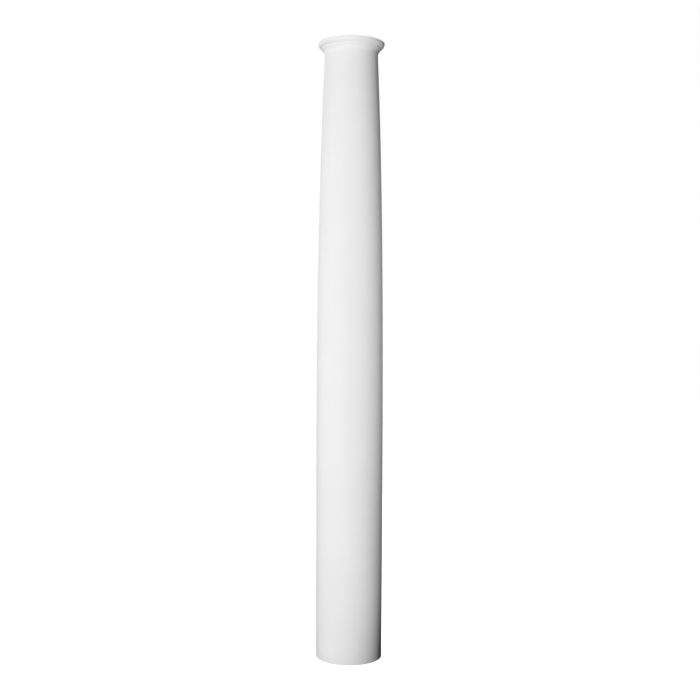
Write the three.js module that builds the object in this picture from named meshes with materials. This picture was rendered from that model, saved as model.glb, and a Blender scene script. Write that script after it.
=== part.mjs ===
// Smooth Doric column shaft, moulded in one piece with its collar.
// Units are millimetres, +Z is up, and the origin is the centre of the foot, on the floor.
//
// The shaft swells a little above its foot and then tapers to the neck in one long curve.
// At the neck it spreads in a shallow cove to a narrow fillet, under a rounded bead, the collar.
// Foot and top are cut square, and a straight bore runs through from end to end, so that the
// shaft can be set over a post or pipe.

import * as THREE from 'three';

// Driving dimensions
const height = 2020; // foot to top face
const footDiameter = 217; // outside, on the floor
const bellySwell = 1; // how far the shaft stands out past its foot, at the belly
const bellyHeight = 450; // where the shaft is thickest
const neckDiameter = 174; // outside, just below the cove
const entasisPower = 3; // how late the taper sets in above the belly

const coveHeight = 18.5;
const coveProjection = 9.5; // from the neck out to the fillet
const coveSweep = 50; // degrees of its curve, from upright at the neck
const filletHeight = 3.6;
const beadUndersideHeight = 15.5;
const beadProjection = 12.5; // from the fillet out to the widest line
const beadSweep = 68; // degrees of its underside, down from the widest line
const topEdgeRadius = 1.8;

const neckWall = 27; // between the bore and the neck

// Facets
const segmentsAround = 96;
const shaftSteps = 16;
const coveSteps = 5;
const beadSteps = 6;
const topEdgeSteps = 3;

// Sizes that follow
const footRadius = footDiameter / 2;
const bellyRadius = footRadius + bellySwell;
const neckRadius = neckDiameter / 2;
const filletRadius = neckRadius + coveProjection;
const collarRadius = filletRadius + beadProjection;
const boreRadius = neckRadius - neckWall;

const widestHeight = height - topEdgeRadius;
const filletTopHeight = widestHeight - beadUndersideHeight;
const coveTopHeight = filletTopHeight - filletHeight;
const neckHeight = coveTopHeight - coveHeight;

// The outside radius of the plain shaft at a height between the foot and the neck.
function shaftRadius(z) {
  if (z < bellyHeight) {
    const below = (bellyHeight - z) / bellyHeight;
    return bellyRadius - bellySwell * below ** 2;
  }
  const above = (z - bellyHeight) / (neckHeight - bellyHeight);
  return bellyRadius - (bellyRadius - neckRadius) * above ** entasisPower;
}

// Points of part of an ellipse, without its first point. Angles are in degrees, anticlockwise
// from the radial direction.
function ellipseArc(centre, radial, axial, from, to, steps) {
  const points = [];
  for (let step = 1; step <= steps; step += 1) {
    const angle = THREE.MathUtils.degToRad(from + ((to - from) * step) / steps);
    const radius = centre.x + radial * Math.cos(angle);
    points.push(new THREE.Vector2(radius, centre.y + axial * Math.sin(angle)));
  }
  return points;
}

// The cove, upright at the neck, out to the lower edge of the fillet.
function covePoints() {
  const sweep = THREE.MathUtils.degToRad(coveSweep);
  const radial = coveProjection / (1 - Math.cos(sweep));
  const axial = coveHeight / Math.sin(sweep);
  const centre = new THREE.Vector2(neckRadius + radial, neckHeight);
  return ellipseArc(centre, radial, axial, 180, 180 - coveSweep, coveSteps);
}

// The underside of the bead, from the upper edge of the fillet out to the widest line.
function beadPoints() {
  const sweep = THREE.MathUtils.degToRad(beadSweep);
  const radial = beadProjection / (1 - Math.cos(sweep));
  const axial = beadUndersideHeight / Math.sin(sweep);
  const centre = new THREE.Vector2(collarRadius - radial, widestHeight);
  return ellipseArc(centre, radial, axial, -beadSweep, 0, beadSteps);
}

// The closed section of one side of the column, up the outside and down the bore.
function columnSection() {
  const points = [new THREE.Vector2(boreRadius, 0)];
  for (let step = 0; step <= shaftSteps; step += 1) {
    const z = (neckHeight * step) / shaftSteps;
    points.push(new THREE.Vector2(shaftRadius(z), z));
  }
  points.push(...covePoints());
  points.push(new THREE.Vector2(filletRadius, filletTopHeight));
  points.push(...beadPoints());
  const edgeCentre = new THREE.Vector2(collarRadius - topEdgeRadius, widestHeight);
  points.push(...ellipseArc(edgeCentre, topEdgeRadius, topEdgeRadius, 0, 90, topEdgeSteps));
  points.push(new THREE.Vector2(boreRadius, height));
  points.push(points[0].clone());
  return points;
}

// The column, turned from its section about the upright axis.
function makeColumnShaft() {
  const geometry = new THREE.LatheGeometry(columnSection(), segmentsAround);
  geometry.rotateX(Math.PI / 2);
  const primer = new THREE.MeshStandardMaterial({ color: 0xe9e9e7, roughness: 0.65, metalness: 0 });
  const shaft = new THREE.Mesh(geometry, primer);
  shaft.name = 'column_shaft';
  return shaft;
}

const column = new THREE.Group();
column.add(makeColumnShaft());

export default column;
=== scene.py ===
import math

import bmesh
import bpy
from mathutils import Matrix, Vector


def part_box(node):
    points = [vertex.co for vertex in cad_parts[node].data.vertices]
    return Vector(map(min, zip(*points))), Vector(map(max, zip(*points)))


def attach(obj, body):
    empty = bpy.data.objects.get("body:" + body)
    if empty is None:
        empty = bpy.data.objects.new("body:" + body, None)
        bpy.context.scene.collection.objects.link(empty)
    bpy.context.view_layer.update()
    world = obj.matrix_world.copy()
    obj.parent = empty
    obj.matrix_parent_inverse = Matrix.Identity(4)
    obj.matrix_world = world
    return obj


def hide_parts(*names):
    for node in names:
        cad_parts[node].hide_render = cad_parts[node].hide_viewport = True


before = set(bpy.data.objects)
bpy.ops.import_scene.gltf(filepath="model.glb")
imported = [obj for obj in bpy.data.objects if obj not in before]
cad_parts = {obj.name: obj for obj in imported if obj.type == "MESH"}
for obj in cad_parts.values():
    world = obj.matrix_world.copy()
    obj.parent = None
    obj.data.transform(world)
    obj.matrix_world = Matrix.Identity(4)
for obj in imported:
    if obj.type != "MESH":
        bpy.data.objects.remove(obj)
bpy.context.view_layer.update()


# Column shaft: a smooth round shaft in moulded hard foam, cast in one with its collar, which is
# a shallow cove, a narrow fillet and a bead. It swells a little above the foot, tapers to the neck
# in one long curve, and is cut square at both ends, with a straight bore through it for a post.

shaft_low, shaft_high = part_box("column_shaft")
column_height = shaft_high.z - shaft_low.z
belly_radius = (shaft_high.x - shaft_low.x) / 2
belly_height = 0.450
belly_swell = 0.001
foot_radius = belly_radius - belly_swell
neck_radius = 0.087
entasis_power = 3

cove_height = 0.0185
cove_projection = 0.0095
cove_sweep = 50
fillet_height = 0.0036
bead_underside_height = 0.0155
bead_projection = 0.0125
bead_sweep = 68
top_edge_radius = 0.0018
neck_wall = 0.027

fillet_radius = neck_radius + cove_projection
collar_radius = fillet_radius + bead_projection
bore_radius = neck_radius - neck_wall
widest_height = column_height - top_edge_radius
fillet_top = widest_height - bead_underside_height
cove_top = fillet_top - fillet_height
neck_height = cove_top - cove_height

sides_around = 256
shaft_rings = 48
cove_steps = 14
bead_steps = 18
top_edge_steps = 6
bore_rings = 12
flat_margin = 0.002
cut_edge_width = 0.0008
fillet_edge_width = 0.001
edge_facets = 3
crease_angle = 40
merge_distance = 1e-5
level_normal = 0.999

primer_tones = ((0.80, 0.80, 0.797), (0.822, 0.822, 0.818))
primer_roughness = (0.62, 0.72)
slow_wave_depth = 0.00006
orange_peel_depth = 0.00002
foam_tones = ((0.66, 0.655, 0.63), (0.74, 0.735, 0.71))
foam_roughness = 0.85
skin_depth = 0.0004
cell_depth = 0.0003
matt_specular = 0.2
noise_middle = (0.3, 0.7)


def shaft_radius(height):
    """Outside radius of the plain shaft: nearly straight to the belly, then a cube-law taper."""
    if height < belly_height:
        below = (belly_height - height) / belly_height
        return belly_radius - belly_swell * below**2
    above = (height - belly_height) / (neck_height - belly_height)
    return belly_radius - (belly_radius - neck_radius) * above**entasis_power


def moulding_arc(centre, size, start, end, steps):
    """Points of part of an ellipse, without its first. Angles are in degrees from outward."""
    points = []
    for step in range(1, steps + 1):
        angle = math.radians(start + (end - start) * step / steps)
        points.append((centre[0] + size[0] * math.cos(angle), centre[1] + size[1] * math.sin(angle)))
    return points


def arc_size(projection, height, sweep):
    """Radial and upright half axes of an ellipse whose swept part, from its side, is this big."""
    turned = math.radians(sweep)
    return projection / (1 - math.cos(turned)), height / math.sin(turned)


def column_profile():
    """The closed section of one side as (radius, height), on from the bore's lower edge."""
    points = [(bore_radius + flat_margin, 0), (foot_radius - flat_margin, 0)]
    for ring in range(shaft_rings + 1):
        height = neck_height * ring / shaft_rings
        points.append((shaft_radius(height), height))
    cove_size = arc_size(cove_projection, cove_height, cove_sweep)
    cove_centre = (neck_radius + cove_size[0], neck_height)
    points += moulding_arc(cove_centre, cove_size, 180, 180 - cove_sweep, cove_steps)
    points.append((fillet_radius, fillet_top))
    bead_size = arc_size(bead_projection, bead_underside_height, bead_sweep)
    bead_centre = (collar_radius - bead_size[0], widest_height)
    points += moulding_arc(bead_centre, bead_size, -bead_sweep, 0, bead_steps)
    edge_size = (top_edge_radius, top_edge_radius)
    edge_centre = (collar_radius - top_edge_radius, widest_height)
    points += moulding_arc(edge_centre, edge_size, 0, 90, top_edge_steps)
    points.append((bore_radius + flat_margin, column_height))
    for ring in range(bore_rings + 1):
        points.append((bore_radius, column_height * (1 - ring / bore_rings)))
    return points


def draw_section():
    """One vertex at the bore's lower edge, extruded point by point round the section."""
    bpy.ops.mesh.primitive_circle_add(vertices=3, radius=flat_margin)
    column = bpy.context.object
    bpy.ops.object.mode_set(mode="EDIT")
    bpy.ops.mesh.select_mode(type="VERT")
    bpy.ops.mesh.select_all(action="SELECT")
    bpy.ops.mesh.merge(type="CENTER")
    bpy.ops.transform.translate(value=(bore_radius, 0, 0))
    here = (bore_radius, 0)
    for there in column_profile():
        step = (there[0] - here[0], 0, there[1] - here[1])
        bpy.ops.mesh.extrude_region_move(TRANSFORM_OT_translate={"value": step})
        here = there
    bpy.ops.mesh.select_all(action="SELECT")
    bpy.ops.mesh.remove_doubles(threshold=merge_distance)
    return column


def soften_rings(column, rings, width):
    """Bevels the level edges that lie on the given (radius, height) rings."""
    bpy.ops.mesh.select_mode(type="EDGE")
    bpy.ops.mesh.select_all(action="DESELECT")
    shape = bmesh.from_edit_mesh(column.data)
    for edge in shape.edges:
        ends = [(vert.co.xy.length, vert.co.z) for vert in edge.verts]
        on_rings = [all(math.dist(end, ring) < merge_distance for end in ends) for ring in rings]
        edge.select_set(any(on_rings))
    bmesh.update_edit_mesh(column.data)
    bpy.ops.mesh.bevel(offset=width, segments=edge_facets, affect="EDGES")


def turn_column():
    """Spins the section about the upright axis, closes it and softens its edges."""
    bpy.ops.object.select_all(action="DESELECT")
    column = draw_section()
    column.name = "column_shaft_moulded"
    bpy.ops.mesh.spin(steps=sides_around, angle=math.tau, center=(0, 0, 0), axis=(0, 0, 1))
    bpy.ops.mesh.select_all(action="SELECT")
    bpy.ops.mesh.remove_doubles(threshold=merge_distance)
    bpy.ops.mesh.normals_make_consistent(inside=False)
    cut_edges = [(foot_radius, 0), (bore_radius, 0), (bore_radius, column_height)]
    soften_rings(column, cut_edges, cut_edge_width)
    fillet_edges = [(fillet_radius, cove_top), (fillet_radius, fillet_top)]
    soften_rings(column, fillet_edges, fillet_edge_width)
    bpy.ops.object.mode_set(mode="OBJECT")
    bpy.ops.object.shade_smooth_by_angle(angle=math.radians(crease_angle))
    return column


def place_node(material, kind, **settings):
    """Adds a shader node with the given properties."""
    made = material.node_tree.nodes.new(kind)
    for name, value in settings.items():
        setattr(made, name, value)
    return made


def noise_texture(material, scale, detail):
    """A soft noise over the piece, in its own coordinates, with scale in waves per metre."""
    place = place_node(material, "ShaderNodeTexCoord")
    noise = place_node(material, "ShaderNodeTexNoise")
    noise.inputs["Scale"].default_value = scale
    noise.inputs["Detail"].default_value = detail
    material.node_tree.links.new(place.outputs["Object"], noise.inputs["Vector"])
    return noise.outputs["Fac"]


def spread(material, source, low, high):
    """Takes a noise's middle range to values from low to high."""
    reach = place_node(material, "ShaderNodeMapRange")
    reach.inputs["From Min"].default_value = noise_middle[0]
    reach.inputs["From Max"].default_value = noise_middle[1]
    reach.inputs["To Min"].default_value = low
    reach.inputs["To Max"].default_value = high
    material.node_tree.links.new(source, reach.inputs["Value"])
    return reach.outputs["Result"]


def tint(material, source, dark, light):
    """Mixes two tones by a value from 0 to 1 and puts them on the surface."""
    mix = place_node(material, "ShaderNodeMix", data_type="RGBA")
    colours = [socket for socket in mix.inputs if socket.type == "RGBA"]
    colours[0].default_value = (*dark, 1)
    colours[1].default_value = (*light, 1)
    factor = next(socket for socket in mix.inputs if socket.type == "VALUE")
    links = material.node_tree.links
    links.new(source, factor)
    mixed = next(socket for socket in mix.outputs if socket.type == "RGBA")
    links.new(mixed, material.node_tree.nodes["Principled BSDF"].inputs["Base Color"])


def relief(material, layers, strength):
    """Adds up bump layers, each a height value and its depth in metres."""
    shader = material.node_tree.nodes["Principled BSDF"]
    links = material.node_tree.links
    below = None
    for height, depth in layers:
        bump = place_node(material, "ShaderNodeBump")
        bump.inputs["Strength"].default_value = strength
        bump.inputs["Distance"].default_value = depth
        links.new(height, bump.inputs["Height"])
        if below:
            links.new(below, bump.inputs["Normal"])
        below = bump.outputs["Normal"]
    links.new(below, shader.inputs["Normal"])


def white_primer():
    """Flat white primer: level, with a faint orange peel and hardly any change of tone."""
    material = bpy.data.materials.new("flat_white_primer")
    material.use_nodes = True
    shader = material.node_tree.nodes["Principled BSDF"]
    shader.inputs["Specular IOR Level"].default_value = matt_specular
    broad = noise_texture(material, scale=5, detail=2)
    tint(material, spread(material, broad, 0, 1), *primer_tones)
    patches = noise_texture(material, scale=22, detail=3)
    links = material.node_tree.links
    links.new(spread(material, patches, *primer_roughness), shader.inputs["Roughness"])
    orange_peel = noise_texture(material, scale=320, detail=2)
    slow_waves = noise_texture(material, scale=12, detail=1)
    layers = [(slow_waves, slow_wave_depth), (orange_peel, orange_peel_depth)]
    relief(material, layers, strength=0.5)
    return material


def cut_foam():
    """Bare hard foam on the sawn ends and in the bore: duller, with fine closed cells."""
    material = bpy.data.materials.new("cut_hard_foam")
    material.use_nodes = True
    shader = material.node_tree.nodes["Principled BSDF"]
    shader.inputs["Specular IOR Level"].default_value = matt_specular
    shader.inputs["Roughness"].default_value = foam_roughness
    clouds = noise_texture(material, scale=40, detail=4)
    tint(material, spread(material, clouds, 0, 1), *foam_tones)
    cells = noise_texture(material, scale=1100, detail=2)
    skin = noise_texture(material, scale=140, detail=3)
    relief(material, [(skin, skin_depth), (cells, cell_depth)], strength=0.6)
    return material


def is_cut(face):
    """True for the level ends, their edges at the bore, and the bore's wall."""
    radius = face.center.xy.length
    level = abs(face.normal.z) > level_normal
    end = face.center.z < cut_edge_width / 4 or face.center.z > column_height - cut_edge_width / 4
    return radius < bore_radius + cut_edge_width or (level and end)


column = turn_column()
column.data.materials.append(white_primer())
column.data.materials.append(cut_foam())
for face in column.data.polygons:
    face.material_index = int(is_cut(face))
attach(column, "root")
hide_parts("column_shaft")


# Floor: a plain studio floor that runs out of sight on every side. It glows as white as the
# backdrop, so no edge and no shadow shows on it, and it neither lights the column nor shades it.

floor_radius = 60
floor_sides = 96
floor_glow = 1.0


def lay_floor():
    """A wide round sheet at the column's foot."""
    bpy.ops.object.select_all(action="DESELECT")
    bpy.ops.mesh.primitive_circle_add(vertices=floor_sides, radius=floor_radius, fill_type="NGON")
    floor = bpy.context.object
    floor.name = "studio_floor"
    paper = bpy.data.materials.new("pale_floor")
    paper.use_nodes = True
    shader = paper.node_tree.nodes["Principled BSDF"]
    shader.inputs["Base Color"].default_value = (0.8, 0.8, 0.8, 1)
    shader.inputs["Roughness"].default_value = 1
    shader.inputs["Specular IOR Level"].default_value = 0
    shader.inputs["Emission Color"].default_value = (1, 1, 1, 1)
    shader.inputs["Emission Strength"].default_value = floor_glow
    floor.data.materials.append(paper)
    floor.visible_diffuse = False
    floor.visible_glossy = False
    floor.visible_shadow = False
    return floor


lay_floor()


# Studio light: soft panels. The key stands low in front and to the left, a broad one lights the
# left side from behind with a lower one beside it, and slim ones close in bring out the right
# side and the collar. The last two keep the back and the top face from going dark.


def hang_panel(name, place, size, aim, power):
    """An area light turned to the column at the aim height. Its place is (azimuth, distance,
    height), with azimuth 0 in front and 90 on the right."""
    azimuth, distance, height = place
    angle = math.radians(azimuth)
    lamp = bpy.data.lights.new(name, "AREA")
    lamp.shape = "RECTANGLE"
    lamp.size = size[0]
    lamp.size_y = size[1]
    lamp.energy = power
    panel = bpy.data.objects.new(name, lamp)
    panel.location = (distance * math.sin(angle), -distance * math.cos(angle), height)
    facing = Vector((0, 0, aim)) - panel.location
    panel.rotation_euler = facing.to_track_quat("-Z", "Y").to_euler()
    panel.visible_camera = False
    bpy.context.scene.collection.objects.link(panel)


hang_panel("key_panel", place=(-19, 4.0, 0.6), size=(1.0, 1.6), aim=1.6, power=150)
hang_panel("left_back_panel", place=(-118, 2.07, 1.96), size=(2.97, 3.0), aim=-0.31, power=39)
hang_panel("low_left_panel", place=(-95, 2.6, 0.5), size=(2.0, 0.8), aim=0.8, power=11.6)
hang_panel("right_top_strip", place=(22, 0.66, 3.01), size=(0.2, 3.0), aim=3.0, power=2.8)
hang_panel("right_low_strip", place=(40, 0.9, 0.27), size=(0.21, 1.24), aim=3.19, power=0.77)
hang_panel("right_strip", place=(72, 0.54, 1.25), size=(0.2, 1.3), aim=1.3, power=0.7)
hang_panel("right_near_panel", place=(61, 0.46, 0.9), size=(0.53, 1.31), aim=0.88, power=0.49)
hang_panel("back_panel", place=(170, 3.2, 1.3), size=(1.6, 2.2), aim=1.0, power=12)
hang_panel("overhead_panel", place=(0, 0.02, 4.2), size=(0.4, 0.4), aim=2.0, power=22)


# Room tone: the camera sees a plain white backdrop, and the column gets a trace of light from
# all round.

room_glow = 0.004


def fill_room():
    """A backdrop that is white to the camera and nearly dark to all else."""
    world = bpy.data.worlds.new("studio_room")
    world.use_nodes = True
    nodes = world.node_tree.nodes
    links = world.node_tree.links
    backdrop = nodes["Background"]
    backdrop.inputs["Color"].default_value = (1, 1, 1, 1)
    seen = nodes.new("ShaderNodeLightPath")
    level = nodes.new("ShaderNodeMath")
    level.operation = "MAXIMUM"
    level.inputs[1].default_value = room_glow
    links.new(seen.outputs["Is Camera Ray"], level.inputs[0])
    links.new(level.outputs["Value"], backdrop.inputs["Strength"])
    bpy.context.scene.world = world


fill_room()
bpy.context.scene.view_settings.view_transform = "Standard"


# Camera: a little above the column's middle, close enough for the collar to show its underside
# and the foot its round front. It is tilted down a little and rolled by a hair.

camera_distance = 3.471
camera_height = 1.1044
camera_lens = 54.04
tilt_down = 0.02547
roll = 0.0048

lens = bpy.data.cameras.new("camera")
lens.sensor_width = 36
lens.lens = camera_lens
camera = bpy.data.objects.new("camera", lens)
camera.matrix_world = (
    Matrix.Translation((0, -camera_distance, camera_height))
    @ Matrix.Rotation(math.pi / 2 - tilt_down, 4, "X")
    @ Matrix.Rotation(roll, 4, "Z")
)
bpy.context.scene.collection.objects.link(camera)
bpy.context.scene.camera = camera

bpy.context.view_layer.update()
